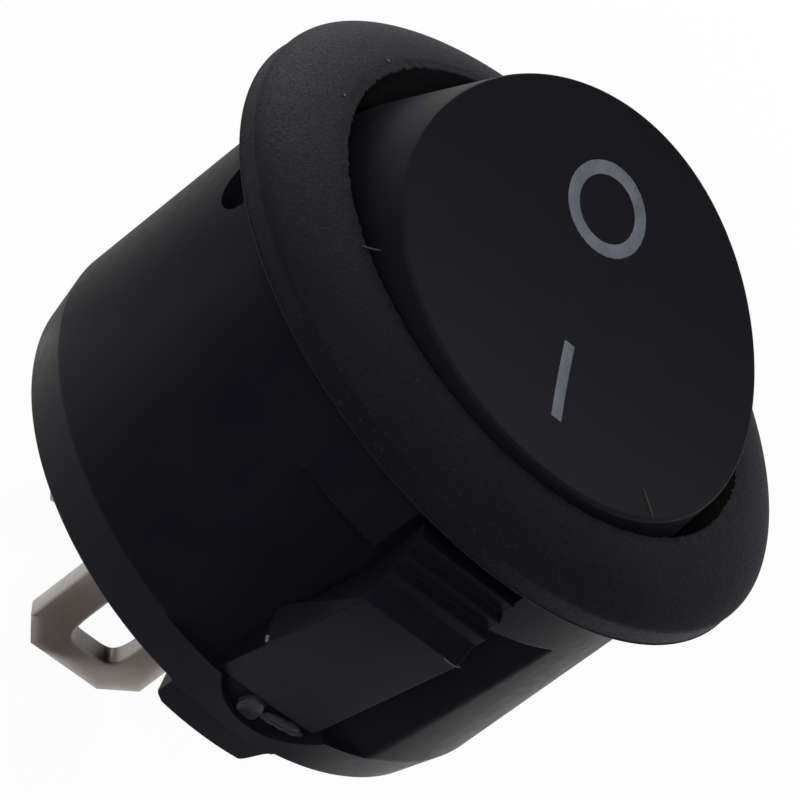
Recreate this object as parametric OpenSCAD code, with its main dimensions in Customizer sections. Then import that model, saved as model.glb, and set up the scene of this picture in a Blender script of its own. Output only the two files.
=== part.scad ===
// Round snap-in rocker switch for a panel hole: on/off, one pole, two solder lugs.
// Frame: the origin is the middle of the flange's seating face. +Z points out of the panel, X runs along
// the rocking direction (+X is the I side, -X the O side) and Y along the pivot.
// The rocker and the contact lever are drawn at rest, with the I side pressed and the contact closed.

/* [Panel and flange] */
// Diameter of the panel hole that the barrel goes into
panel_hole_d = 20; // [19.5:0.1:22]
// Gap between the barrel and the hole, on the radius
hole_clearance = 0.05; // [0.02:0.01:0.15]
// How far the flange reaches past the barrel
flange_reach = 1.55; // [1.2:0.05:2.5]
// Height of the flange above the panel
flange_h = 2; // [1.6:0.1:2.6]
// Height of the flange's upright rim
rim_h = 0.65; // [0.3:0.05:1]
// Fullness of the flange's dome: 1 is an elliptic arc and 2 a straight bevel
dome_power = 1.34; // [1:0.02:1.8]
// Rounding of the flange's inner lip
lip_round = 0.2; // [0.1:0.05:0.3]

/* [Barrel] */
// Depth of the barrel behind the panel
barrel_depth = 12; // [11.5:0.1:14]
// Height of the lead-in bevel at the barrel's foot
bevel_h = 1.9; // [1:0.1:2.2]
// How far the lead-in bevel goes in
bevel_in = 0.45; // [0.2:0.05:0.8]
// Thickness of the floor
floor_t = 1.5; // [1:0.1:2]
// Half length of the contact chamber, along X
chamber_x = 7; // [6.7:0.1:7.3]
// Half width of the contact chamber, along Y
chamber_y = 3.6; // [3.3:0.1:4.4]
// Depth of the ledge that stops the rocker
ledge_depth = 2.2; // [2:0.05:2.3]
// Diameter of the bowl under the ledge
bowl_d = 15.1; // [14.9:0.1:15.2]
// Depth of the bowl
bowl_depth = 4; // [3.9:0.1:4.4]
// Height of the two pads under the foot
pad_h = 0.9; // [0.3:0.05:1.2]
// Width of the pads
pad_w = 3.75; // [3:0.05:5]
// How far the pads lie off the middle
pad_off = 0.58; // [0:0.02:1]
// Length of the pads towards the middle
pad_l = 1.4; // [1:0.1:1.5]

/* [Wings] */
// Width of a sprung wing
wing_w = 3.9; // [3:0.1:5]
// How far the wing's tip stands out past the barrel
tip_out = 1.3; // [0.8:0.05:1.6]
// Depth of the wing's tip below the seat
tip_depth = 3.6; // [3.3:0.1:5]
// How far the wing's root lies inside the barrel's surface
root_in = 0.5; // [0.4:0.01:0.6]
// Depth of the wing's root below the seat
root_depth = 10.35; // [10.3:0.05:10.6]
// Thickness of the wing at its root
root_t = 1; // [0.8:0.05:1.2]
// Thickness of the wing at its tip
tip_t = 1.3; // [1:0.05:1.5]
// Thickness of the wing's toothed end
end_t = 0.75; // [0.5:0.05:0.9]
// Number of stepped teeth
teeth = 3; // [2:1:5]
// Height of the lowest tooth
first_tooth = 1.23; // [0.9:0.01:1.4]
// Depth of the highest tooth below the seat: the thinnest panel that it holds
end_depth = 1.15; // [0.9:0.05:1.5]
// How far the toothed end stands out past the barrel
end_out = 0.48; // [0.3:0.01:0.6]
// Overhang of each tooth over the holding face below it
tooth_nib = 0.1; // [0:0.01:0.15]
// Share of an upper tooth's height that its slanted holding face takes
tooth_face = 0.2; // [0.1:0.05:0.6]
// Gap beside the wing in the collar's window
wing_gap = 0.3; // [0.2:0.05:0.5]
// Depth below the seat where the recessed flat starts
flat_top = 3; // [2.8:0.1:3.6]
// Depth below the seat where the recessed flat ends
flat_end = 10.2; // [9.8:0.1:10.4]
// Recess of the flat at its top
flat_in_top = 1.6; // [1.5:0.05:1.7]
// Recess of the flat at its end
flat_in_end = 1; // [0.8:0.05:1.2]
// How far the window behind the teeth, where the wing bends in, runs past the well's wall
window_past = 0.55; // [0.5:0.05:0.8]
// Depth below the seat where that window starts
window_top = 0.45; // [0.4:0.05:0.7]
// Radius of the scooped gate recess at the wing's root
gate_r = 2.6; // [2.3:0.1:3]
// Depth below the seat where the gate recess ends
gate_depth = 11.35; // [11:0.05:11.4]
// How far the gate recess lies behind the wing's root
gate_in = 0.25; // [0.15:0.05:0.35]
// How far the gate recess lies off the middle
gate_off = 0.3; // [0:0.05:0.5]

/* [Rocker] */
// Length of the rocker's face, along X
rocker_d = 14.8; // [14.5:0.1:15.1]
// Slope of the rocker's flared side
flare = 0.22; // [0.18:0.01:0.25]
// Gap between the flared side and the well
flare_gap = 0.25; // [0.2:0.01:0.35]
// Tilt of the rocker to either side
tilt = 15.2; // [13:0.1:15.5]
// Depth of the pivot below the seat
pivot_depth = 1.45; // [1.35:0.05:1.6]
// Height of the middle of the level rocker's face above the seat
face_h = 3.7; // [3.4:0.05:4]
// Radius of the dished face
dish_r = 35; // [28:1:60]
// Thickness of the face over the hollow
roof_t = 1.8; // [1.2:0.1:2.2]
// Diameter of the inner skirt
skirt_d = 14.4; // [14:0.1:14.5]
// Thickness of the inner skirt
skirt_t = 1.2; // [0.9:0.1:1.4]
// Gap between the pressed side and the lip
lip_gap = 0.1; // [0.08:0.01:0.2]
// Gap under the pressed side at the ledge
stop_gap = 0.15; // [0.1:0.05:0.3]
// Diameter of the trunnions
trunnion_d = 2; // [1.8:0.1:2.2]
// Gap round a trunnion in its hole, on the radius
trunnion_gap = 0.05; // [0.03:0.01:0.08]
// How far a trunnion's end lies inside the barrel's surface
trunnion_in = 0.45; // [0.3:0.05:0.7]
// Width of the ears that carry the trunnions
ear_w = 3.8; // [3.4:0.1:4.4]
// Thickness of the ears
ear_t = 2; // [1.6:0.1:2.2]
// Diameter of the plunger's boss
boss_d = 4.8; // [4.4:0.1:5.2]
// Length of the boss below the pivot
boss_len = 3.5; // [3:0.1:3.7]
// Solid end of the boss over its bore
boss_cap = 0.7; // [0.4:0.1:1.2]

/* [Plunger and spring] */
// Diameter of the plunger
plunger_d = 3; // [2.6:0.1:3.2]
// Gap round the plunger in its bore, on the radius
plunger_gap = 0.05; // [0.03:0.01:0.08]
// Radius of the plunger's tip
plunger_tip_r = 1; // [0.8:0.05:1.2]
// Length of the plunger that is guided in the boss
plunger_guide = 1.3; // [1:0.1:1.8]
// Gap between the tip and the level lever
plunger_rise = 0.06; // [0.04:0.01:0.12]
// Outer diameter of the spring
spring_d = 2.6; // [2.2:0.1:2.8]
// Diameter of the spring's wire
spring_wire = 0.35; // [0.25:0.05:0.45]
// Turns of the spring
spring_turns = 6; // [4:1:8]

/* [Contacts] */
// Tilt of the contact lever to either side
lever_tilt = 7; // [5:0.5:8]
// Width of the lever
lever_w = 3; // [2.4:0.1:3.2]
// Thickness of the lever
lever_t = 0.6; // [0.4:0.05:0.8]
// Reach of the lever's contact end
lever_end = 6.1; // [6.1:0.1:6.5]
// Reach of the lever's free end, which balances the contact end
lever_free = 6.7; // [6:0.1:6.8]
// Gap between the lever and the round edge that it rocks on
lever_gap = 0.05; // [0.02:0.01:0.1]
// Distance of the contacts from the middle
contact_x = 5; // [4.8:0.1:5.1]
// Diameter of the moving contact
moving_d = 2.2; // [1.6:0.1:2.4]
// Thickness of the moving contact's edge
moving_t = 0.3; // [0.2:0.05:0.5]
// Radius of the moving contact's domed face
moving_dome_r = 2.2; // [1.6:0.1:4]
// Diameter of the fixed contact
fixed_d = 2.6; // [2:0.1:2.7]
// Thickness of the fixed contact
fixed_t = 0.6; // [0.4:0.05:0.8]
// Gap between the closed contacts
closed_gap = 0.05; // [0.03:0.01:0.1]

/* [Solder lugs] */
// Width of a lug
lug_w = 4.95; // [4.4:0.05:5.2]
// Thickness of a lug
lug_t = 0.8; // [0.5:0.05:1]
// Length of a lug below the barrel
lug_len = 8.95; // [7.5:0.05:11]
// Bevel of the lug's two corners
lug_bevel = 1; // [0.5:0.05:1.5]
// Width of the wire hole
eye_w = 2.15; // [1.4:0.05:2.4]
// Length of the wire hole
eye_l = 4; // [3:0.1:5]
// Rounding of the wire hole's corners
eye_round = 0.5; // [0.2:0.05:0.65]
// Metal left between the wire hole and the tip
eye_end = 1.2; // [0.8:0.1:1.6]
// Distance of the fixed lug from the middle
fixed_x = 7.2; // [7:0.05:7.4]
// Gap round a lug in its floor slot
slot_gap = 0.05; // [0.02:0.01:0.1]
// How far the common lug's shoulders stand out over the floor
shoulder = 0.6; // [0.4:0.05:0.8]
// Height of the prongs beside the lever, above the edge that it rocks on
prong_h = 1.1; // [0.8:0.1:1.3]
// Gap between the lever and the prongs
prong_gap = 0.1; // [0.05:0.05:0.3]
// Width of the fixed lug's tab under its contact
tab_w = 4; // [3:0.1:4.4]
// Length of that tab from the lug's outer face
tab_l = 4.1; // [4:0.05:4.3]

/* [Hidden] */
$fn = 96;

moulded_black = "#1c1c1e";
satin_black = "#161617";
plated = "#c8c1b6";
spring_steel = "#b9bcc0";
copper = "#b87a4b";
silver_alloy = "#d5d5d2";

// Room that a cut runs past the faces it goes through
past = 1;

barrel_r = panel_hole_d/2 - hole_clearance;
flange_r = barrel_r + flange_reach;
foot_r = barrel_r - bevel_in;
floor_top = -barrel_depth + floor_t;

// Rocker, drawn level: the face's end lies at edge_z, and flared_r(z) is the side's radius at the height z.
// When one side is pressed, its face end swings out to edge_x and its underside, from keel_z up, lies level.
rocker_r = rocker_d/2;
edge_z = face_h + dish_r - sqrt(dish_r*dish_r - rocker_r*rocker_r);
function flared_r(z) = rocker_r + flare*(edge_z - z);
edge_x = rocker_r*cos(tilt) + (edge_z + pivot_depth)*sin(tilt);
well_r = edge_x + lip_gap;
bowl_r = bowl_d/2;
keel_z = (pivot_depth - ledge_depth + stop_gap)/cos(tilt) - pivot_depth;
skirt_r = skirt_d/2;
skirt_z = (pivot_depth - bowl_depth + stop_gap + skirt_r*sin(tilt))/cos(tilt) - pivot_depth;
roof_z = face_h - roof_t;
trunnion_r = trunnion_d/2;
trunnion_end = barrel_r - trunnion_in;
ear_r = ear_w/2;
ear_y = skirt_r - ear_t;
boss_end = -pivot_depth - boss_len;
bore_top = roof_z - boss_cap;

// Contacts: heights are worked upwards from the floor, and the lever rocks about the round edge at lever_z
seat_gap = 0.03;
tab_top = floor_top + seat_gap + lug_t;
fixed_top = tab_top + fixed_t;
lever_under = lug_t/2 + lever_gap;
moving_r = moving_d/2;
dome_h = moving_dome_r - sqrt(moving_dome_r*moving_dome_r - moving_r*moving_r);
dome_centre = lever_under - moving_t - dome_h + moving_dome_r;
lever_z = fixed_top + closed_gap + contact_x*sin(lever_tilt) - dome_centre*cos(lever_tilt) + moving_dome_r;
lever_top = lever_under + lever_t;
tip_drop = -pivot_depth - lever_z - lever_top - plunger_rise;
plunger_r = plunger_d/2;
plunger_top = boss_end + plunger_guide;
lug_tip = -barrel_depth - lug_len;
valley = lever_w/2 + prong_gap;

// Points of the flange's dome and of its lip, from the rim inwards, as [radius, height]
curve_steps = 10;
dome_end_r = well_r + lip_round;
function dome_point(a) = [dome_end_r + (flange_r - dome_end_r)*pow(cos(a), dome_power),
                          rim_h + (flange_h - rim_h)*pow(sin(a), dome_power)];
function lip_point(a) = [dome_end_r - lip_round*sin(a), flange_h - lip_round + lip_round*cos(a)];
dome = [for (i = [0:curve_steps]) dome_point(90*i/curve_steps)];
lip = [for (i = [1:curve_steps/2]) lip_point(90*i/(curve_steps/2))];

// Wing outline in X and Z. The outer face runs from the root to the tip, which is the first crest; each tooth is a
// slanted holding face and an overhanging riser up to the next crest; the inner face goes back down to the root.
tip_x = barrel_r + tip_out;
root_x = barrel_r - root_in;
end_x = barrel_r + end_out;
tooth_dx = (tip_x - end_x)/teeth;
tooth_dz = (tip_depth - end_depth - first_tooth)/(teeth - 1);
riser_h = (1 - tooth_face)*tooth_dz;
function crest(i) = [tip_x - i*tooth_dx, -tip_depth + (i == 0 ? 0 : first_tooth + (i - 1)*tooth_dz)];
teeth_points = [for (i = [0:teeth - 1]) each [crest(i), crest(i + 1) - [tooth_nib, riser_h]]];
wing_outline = concat(
    [[root_x - root_t, -root_depth], [root_x, -root_depth]],
    teeth_points,
    [crest(teeth), [end_x - end_t, -end_depth], [tip_x - tip_t, -tip_depth]]);

module both_ends() {
    children();
    mirror([1, 0, 0]) children();
}

module both_sides() {
    children();
    mirror([0, 1, 0]) children();
}

// A flat outline in X and Z, made into a slab of width w across Y
module slab(w) {
    rotate([90, 0, 0]) linear_extrude(height = w, center = true) children();
}

// A plate of thickness lug_t across X, from an outline in Y and Z
module upright_plate() {
    rotate([90, 0, 90]) linear_extrude(height = lug_t, center = true) children();
}

module at_rocker_rest() {
    translate([0, 0, -pivot_depth]) rotate([0, tilt, 0]) translate([0, 0, pivot_depth]) children();
}

module at_lever_rest() {
    translate([0, 0, lever_z]) rotate([0, -lever_tilt, 0]) children();
}

// Housing: one moulding

module barrel_and_flange() {
    rotate_extrude() polygon(concat(
        [[0, -barrel_depth], [foot_r, -barrel_depth], [barrel_r, bevel_h - barrel_depth],
         [barrel_r, 0], [flange_r, 0]],
        dome, lip, [[well_r, 0], [0, 0]]));
}

module foot_pad() {
    intersection() {
        translate([foot_r - hole_clearance - pad_l, -pad_w/2 - pad_off, -barrel_depth - pad_h])
            cube([pad_l, pad_w, pad_h + floor_t/2]);
        translate([0, 0, -barrel_depth - pad_h - past]) cylinder(r = foot_r, h = barrel_depth);
    }
}

// The round well that the rocker swings in: a ledge stops the pressed side, and a bowl under it takes the skirt
module well() {
    rotate_extrude() polygon([[0, -bowl_depth], [bowl_r, -bowl_depth], [bowl_r, -ledge_depth],
                              [well_r, -ledge_depth], [well_r, flange_h + past], [0, flange_h + past]]);
}

module chamber() {
    translate([-chamber_x, -chamber_y, floor_top]) cube([2*chamber_x, 2*chamber_y, -floor_top - bowl_depth + past]);
}

module pivot_holes() {
    rotate([90, 0, 0]) translate([0, -pivot_depth, 0])
        cylinder(r = trunnion_r + trunnion_gap, h = 2*barrel_r + past, center = true);
}

module lug_slot(x) {
    translate([x - lug_t/2 - slot_gap, -lug_w/2 - slot_gap, -barrel_depth - past])
        cube([lug_t + 2*slot_gap, lug_w + 2*slot_gap, floor_t + 2*past]);
}

// Room for one wing: a sloped flat on the barrel, a window in the collar above it, and the scooped recess at the
// wing's root, where the mould's gate was
module wing_room() {
    outside = tip_x + past;
    window_x = well_r - window_past;
    slab(2*barrel_r) polygon([[barrel_r - flat_in_end, -flat_end], [barrel_r - flat_in_top, -flat_top],
                              [outside, -flat_top], [outside, -flat_end]]);
    slab(wing_w + 2*wing_gap) polygon([[window_x, -window_top], [outside, -window_top],
                                       [outside, -flat_top - wing_gap], [window_x, -flat_top - wing_gap]]);
    translate([root_x - gate_in, gate_off, gate_r - gate_depth]) rotate([0, 90, 0])
        cylinder(r = gate_r, h = outside - root_x + gate_in);
}

module wing() {
    slab(wing_w) polygon(wing_outline);
}

module housing() {
    color(moulded_black) {
        difference() {
            union() {
                barrel_and_flange();
                both_ends() foot_pad();
            }
            well();
            chamber();
            pivot_holes();
            lug_slot(0);
            lug_slot(-fixed_x);
            both_ends() wing_room();
        }
        both_ends() wing();
    }
}

// Rocker: one moulding

// The flared side, with an underside that slopes up from the keel to both ends
module flared_side() {
    high = edge_z + past - keel_z;
    rise = rocker_d*tan(tilt);
    difference() {
        intersection() {
            translate([0, 0, keel_z]) cylinder(r1 = flared_r(keel_z), r2 = flared_r(edge_z + past), h = high);
            translate([0, 0, keel_z]) cylinder(r = well_r - flare_gap, h = high);
        }
        slab(2*rocker_d) polygon([[-rocker_d, keel_z + rise], [0, keel_z], [rocker_d, keel_z + rise],
                                  [rocker_d, keel_z - past], [-rocker_d, keel_z - past]]);
    }
}

module rocker_cap() {
    difference() {
        union() {
            flared_side();
            translate([0, 0, skirt_z]) cylinder(r = skirt_r, h = roof_z - skirt_z);
        }
        translate([0, 0, face_h + dish_r]) rotate([90, 0, 0])
            cylinder(r = dish_r, h = 2*rocker_d, center = true, $fn = 360);
        translate([0, 0, skirt_z - past]) cylinder(r = skirt_r - skirt_t, h = roof_z - skirt_z + past);
    }
}

module ears() {
    intersection() {
        both_sides() {
            translate([-ear_r, ear_y, -pivot_depth]) cube([ear_w, ear_t, roof_z + pivot_depth]);
            translate([0, ear_y, -pivot_depth]) rotate([-90, 0, 0]) cylinder(r = ear_r, h = ear_t);
        }
        translate([0, 0, -pivot_depth - ear_w]) cylinder(r = skirt_r, h = 2*ear_w + roof_z + pivot_depth);
    }
}

module trunnions() {
    both_sides() translate([0, ear_y, -pivot_depth]) rotate([-90, 0, 0])
        cylinder(r = trunnion_r, h = trunnion_end - ear_y);
}

module rocker() {
    color(satin_black) at_rocker_rest() difference() {
        union() {
            rocker_cap();
            ears();
            trunnions();
            translate([0, 0, boss_end]) cylinder(d = boss_d, h = roof_z - boss_end + roof_t/2);
        }
        translate([0, 0, boss_end - past])
            cylinder(r = plunger_r + plunger_gap, h = bore_top - boss_end + past);
    }
}

// Spring: one wire swept along a helix between the bore's end and the plunger

function ring_point(r, a) = [r*cos(a), r*sin(a)];

module helix_wire(mean_r, wire_r, length, turns) {
    sides = 6;
    steps = 16*turns;
    points = [for (i = [0:steps]) for (j = [0:sides - 1])
        let (a = 360*turns*i/steps, q = ring_point(wire_r, 360*j/sides))
        [(mean_r + q[0])*cos(a), (mean_r + q[0])*sin(a), length*i/steps + q[1]]];
    walls = [for (i = [0:steps - 1]) for (j = [0:sides - 1])
        [i*sides + j, (i + 1)*sides + j, (i + 1)*sides + (j + 1) % sides, i*sides + (j + 1) % sides]];
    start = [for (j = [0:sides - 1]) j];
    finish = [for (j = [sides - 1:-1:0]) steps*sides + j];
    polyhedron(points = points, faces = concat([start], walls, [finish]));
}

module rocker_spring() {
    wire_r = spring_wire/2;
    room = bore_top - plunger_top - spring_wire - 2*seat_gap;
    color(spring_steel) at_rocker_rest() translate([0, 0, plunger_top + wire_r + seat_gap])
        helix_wire(spring_d/2 - wire_r, wire_r, room, spring_turns);
}

module plunger() {
    tip_z = -pivot_depth - tip_drop + plunger_tip_r;
    shoulder_z = tip_z + plunger_r - plunger_tip_r;
    color(spring_steel) at_rocker_rest() {
        translate([0, 0, tip_z]) sphere(r = plunger_tip_r);
        translate([0, 0, tip_z]) cylinder(r1 = plunger_tip_r, r2 = plunger_r, h = shoulder_z - tip_z);
        translate([0, 0, shoulder_z]) cylinder(r = plunger_r, h = plunger_top - shoulder_z);
    }
}

// Contacts

module contact_lever() {
    color(copper) at_lever_rest() translate([-lever_end, -lever_w/2, lever_under])
        cube([lever_end + lever_free, lever_w, lever_t]);
}

module moving_contact() {
    color(silver_alloy) at_lever_rest() translate([-contact_x, 0, 0]) intersection() {
        translate([0, 0, dome_centre]) sphere(r = moving_dome_r);
        translate([0, 0, lever_under - moving_t - dome_h]) cylinder(r = moving_r, h = moving_t + dome_h);
    }
}

module fixed_contact() {
    color(silver_alloy) translate([-contact_x, 0, tab_top]) cylinder(d = fixed_d, h = fixed_t);
}

// Solder lugs

module lug_outline(top) {
    half = lug_w/2;
    difference() {
        polygon([[-half, top], [-half, lug_tip + lug_bevel], [-half + lug_bevel, lug_tip],
                 [half - lug_bevel, lug_tip], [half, lug_tip + lug_bevel], [half, top]]);
        translate([0, lug_tip + eye_end + eye_l/2]) wire_eye();
    }
}

module wire_eye() {
    in_w = eye_w - 2*eye_round;
    in_l = eye_l - 2*eye_round;
    square([eye_w, in_l], center = true);
    square([in_w, eye_l], center = true);
    for (y = [-in_w/2, in_w/2]) for (z = [-in_l/2, in_l/2]) translate([y, z]) circle(r = eye_round);
}

// Common lug: shoulders on the floor, and two prongs beside the round edge that the lever rocks on
module common_terminal() {
    half = lug_w/2 + shoulder;
    foot = floor_top + seat_gap;
    color(plated) {
        upright_plate() {
            lug_outline(foot + lug_t);
            difference() {
                translate([-half, foot]) square([2*half, lever_z + prong_h - foot]);
                translate([-valley, lever_z]) square([2*valley, prong_h + past]);
            }
        }
        translate([0, 0, lever_z]) rotate([90, 0, 0]) cylinder(d = lug_t, h = 2*valley, center = true);
    }
}

// Fixed lug: bent over on the floor into a tab that carries its contact
module fixed_terminal() {
    foot = floor_top + seat_gap;
    color(plated) translate([-fixed_x, 0, 0]) {
        upright_plate() {
            lug_outline(foot);
            translate([-tab_w/2, floor_top]) square([tab_w, tab_top - floor_top]);
        }
        translate([-lug_t/2, -tab_w/2, foot]) cube([tab_l, tab_w, tab_top - foot]);
    }
}

housing();
rocker();
rocker_spring();
plunger();
contact_lever();
moving_contact();
common_terminal();
fixed_terminal();
fixed_contact();
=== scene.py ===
# %% [markdown]
# # A round rocker switch
# The switch snaps into a round hole in a panel. A dished rocker tilts in a domed flange, a barrel with two
# sprung wings goes through the hole, and two solder lugs stand out below. This script dresses the packed
# solids: it repeats their sizes in finer surfaces, and adds finishes and light. Sizes are in millimetres.

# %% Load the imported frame
import math
import bmesh
import bpy
import numpy as np
from mathutils import Matrix, Vector


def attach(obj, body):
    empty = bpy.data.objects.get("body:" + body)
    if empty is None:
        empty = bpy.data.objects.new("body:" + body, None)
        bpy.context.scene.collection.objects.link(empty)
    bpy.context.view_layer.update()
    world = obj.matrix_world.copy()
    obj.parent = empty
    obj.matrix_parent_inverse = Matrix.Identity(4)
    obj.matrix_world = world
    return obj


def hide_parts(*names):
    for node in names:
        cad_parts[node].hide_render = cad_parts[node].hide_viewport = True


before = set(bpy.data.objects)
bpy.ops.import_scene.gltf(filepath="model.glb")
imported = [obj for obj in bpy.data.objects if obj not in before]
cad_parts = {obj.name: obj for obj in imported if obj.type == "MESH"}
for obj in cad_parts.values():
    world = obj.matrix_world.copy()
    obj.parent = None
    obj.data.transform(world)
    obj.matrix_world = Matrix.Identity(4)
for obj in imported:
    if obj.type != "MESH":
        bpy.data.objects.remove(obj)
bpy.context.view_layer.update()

MM = 0.001
scene = bpy.context.scene
scene.view_settings.view_transform = "Standard"

# %% [markdown]
# ## Camera
# The photograph was taken from far away with a long lens, and the camera was rolled by more than fifty
# degrees, so the switch seems to lean. A tracking constraint could aim the camera but not roll it, so a
# look-at matrix is turned about its own axis instead. The place, aim, roll and lens were found by fitting
# circles of known size on the barrel, the flange and the rocker to their edges in the picture.

# %% Camera
def facing(place, aim):
    """The matrix of an object at a place that looks along its own -Z towards an aim, both in millimetres."""
    look = (Vector(aim) - Vector(place)).to_track_quat("-Z", "Y").to_matrix().to_4x4()
    return Matrix.Translation(Vector(place)*MM) @ look


camera_place = Vector((122.41, -70.60, 74.89))
camera_aim = Vector((1.531, -1.203, -3.428))
camera_roll = math.radians(52.931)
camera_data = bpy.data.cameras.new("photo_camera")
camera_data.sensor_width = 36
camera_data.lens = 226.3
camera_data.clip_start = 0.01
camera = bpy.data.objects.new("photo_camera", camera_data)
camera.matrix_world = facing(camera_place, camera_aim) @ Matrix.Rotation(camera_roll, 4, "Z")
scene.collection.objects.link(camera)
scene.camera = camera
print("camera lens", camera_data.lens, "distance", round((camera_aim - camera_place).length, 1), "mm")

# %% [markdown]
# ## Node finishes
# Every finish is a node tree that starts from Object coordinates, which are metres here, so a grain of a
# tenth of a millimetre needs a scale of about ten thousand. Such a tree could be drawn by hand in the
# Shader Editor. Small functions build it here, so that each finish below reads as a short list of steps.

# %% Nodes and links
def new_finish(name):
    """A node material with its tree and its main shader."""
    material = bpy.data.materials.new(name)
    material.use_nodes = True
    return material, material.node_tree, material.node_tree.nodes["Principled BSDF"]


def add(tree, kind, **values):
    """A node of one kind; each keyword sets the input of that name, with _ for a space."""
    node = tree.nodes.new(kind)
    for key, value in values.items():
        node.inputs[key.replace("_", " ")].default_value = value
    return node


def join(tree, output, target):
    """One link between two sockets."""
    tree.links.new(output, target)


def place_of(tree):
    """Object coordinates, the same in every view and in the exported model."""
    return add(tree, "ShaderNodeTexCoord").outputs["Object"]


print("node helpers ready")

# %% Patterns and colours
NOISE_LOW, NOISE_HIGH = 0.3, 0.7  # most values of a noise pattern lie between these two
MIX_FIRST, MIX_SECOND, MIX_RESULT = 6, 7, 2  # sockets for colours on a Mix node, whose names repeat


def noise(tree, place, scale, detail=2.0):
    """Cloudy noise at a scale in waves per metre, read at a place."""
    node = add(tree, "ShaderNodeTexNoise", Scale=scale, Detail=detail)
    join(tree, place, node.inputs["Vector"])
    return node.outputs["Fac"]


def spread(tree, value, low=NOISE_LOW, high=NOISE_HIGH, out_low=0.0, out_high=1.0):
    """A value between low and high, moved in step to the range from out_low to out_high."""
    node = add(tree, "ShaderNodeMapRange", From_Min=low, From_Max=high, To_Min=out_low, To_Max=out_high)
    join(tree, value, node.inputs["Value"])
    return node.outputs["Result"]


def blend_colours(tree, amount, first, second):
    """The first colour where amount is 0, the second where it is 1; each is a colour or an output socket."""
    node = add(tree, "ShaderNodeMix")
    node.data_type = "RGBA"
    join(tree, amount, node.inputs["Factor"])
    for socket, colour in ((node.inputs[MIX_FIRST], first), (node.inputs[MIX_SECOND], second)):
        if isinstance(colour, tuple):
            socket.default_value = (*colour, 1)
        else:
            join(tree, colour, socket)
    return node.outputs[MIX_RESULT]


def bump(tree, height, depth, shader):
    """Bump from a height field, with its depth in millimetres."""
    node = add(tree, "ShaderNodeBump", Strength=1.0, Distance=depth*MM)
    join(tree, height, node.inputs["Height"])
    join(tree, node.outputs["Normal"], shader.inputs["Normal"])


print("pattern helpers ready")

# %% [markdown]
# ## Black mouldings
# The housing and the rocker are black nylon. Seen straight on they are almost without light, and near their
# outlines they mirror the white room. The flange is spark-eroded to a fine grain with pale specks, the
# barrel and the wings are smooth with faint flow marks, and the rocker is satin. Where the plastic was torn
# it is rougher and paler. Each could have a tree of its own, but they differ only in numbers, so one
# function makes them all: a dark base that clouds a little, a gloss that varies and a grain in the bump.

# %% Black plastic finishes
def black_plastic(name, dark, pale, rough, gloss, grain=2600.0, depth=0.003, dusty=0.0, specks=0.0):
    """Nylon: grey clouds from dark to pale, a little blue; roughness between two values; a grain in waves per
    metre with its depth in millimetres. The share dusty is a pale sheen at glancing angles, as fine dust
    gives it; specks is how pale single grains are."""
    cloud_waves, speck_waves, blue = 420.0, 7400.0, 0.0024
    material, tree, shader = new_finish(name)
    place = place_of(tree)
    clouds = spread(tree, noise(tree, place, cloud_waves, 4.0))
    tones = [(level, level, level + blue) for level in (dark, pale)]
    ground = blend_colours(tree, clouds, *tones)
    if specks:
        grains = spread(tree, noise(tree, place, speck_waves, 1.0), 0.60, 0.74)
        ground = blend_colours(tree, grains, ground, (specks, specks, specks*1.06))
    join(tree, ground, shader.inputs["Base Color"])
    fine = noise(tree, place, grain, 3.0)
    join(tree, spread(tree, fine, out_low=rough[0], out_high=rough[1]), shader.inputs["Roughness"])
    bump(tree, fine, depth, shader)
    shader.inputs["Specular IOR Level"].default_value = gloss
    shader.inputs["Specular Tint"].default_value = (0.90, 0.91, 1.0, 1)
    shader.inputs["Sheen Weight"].default_value = dusty
    shader.inputs["Sheen Roughness"].default_value = 0.4
    shader.inputs["Sheen Tint"].default_value = (0.85, 0.88, 1.0, 1)
    print("finish", name)
    return material


spark_black = black_plastic("spark_black", dark=0.0026, pale=0.0040, rough=(0.5, 0.68), gloss=0.34,
                            grain=9500.0, depth=0.016, dusty=0.026, specks=0.0075)
smooth_black = black_plastic("smooth_black", dark=0.0036, pale=0.0046, rough=(0.30, 0.38), gloss=0.085)
satin_black = black_plastic("satin_black", dark=0.0044, pale=0.0052, rough=(0.36, 0.44), gloss=0.21,
                            grain=16000.0, depth=0.0025, dusty=0.012)
# Paler than the wing: a painted reflection, for the web on the wing's side face.
web_painted_reflection = black_plastic("web_painted_reflection", dark=0.0065, pale=0.0085, rough=(0.40, 0.50), gloss=0.10, dusty=0.01)
torn_black = black_plastic("torn_black", dark=0.005, pale=0.022, rough=(0.22, 0.45), gloss=0.35,
                           depth=0.01, dusty=0.01)
# Pale finish for stress-whitened burrs and grains, and also for a painted glint on the wing's crest.
whitened_and_glint = black_plastic("whitened_and_glint", dark=0.05, pale=0.11, rough=(0.30, 0.45), gloss=0.35,
                         depth=0.01, dusty=0.01)

# %% [markdown]
# ## Surfaces from grids
# Each new piece is a grid of points worked out as one array. It could also be modelled by hand from
# primitives and modifiers, but a grid follows its formula exactly and can vary along every line. A helper
# turns the grid into a mesh of four-sided faces, closes its ends and turns all faces outwards.

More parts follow.
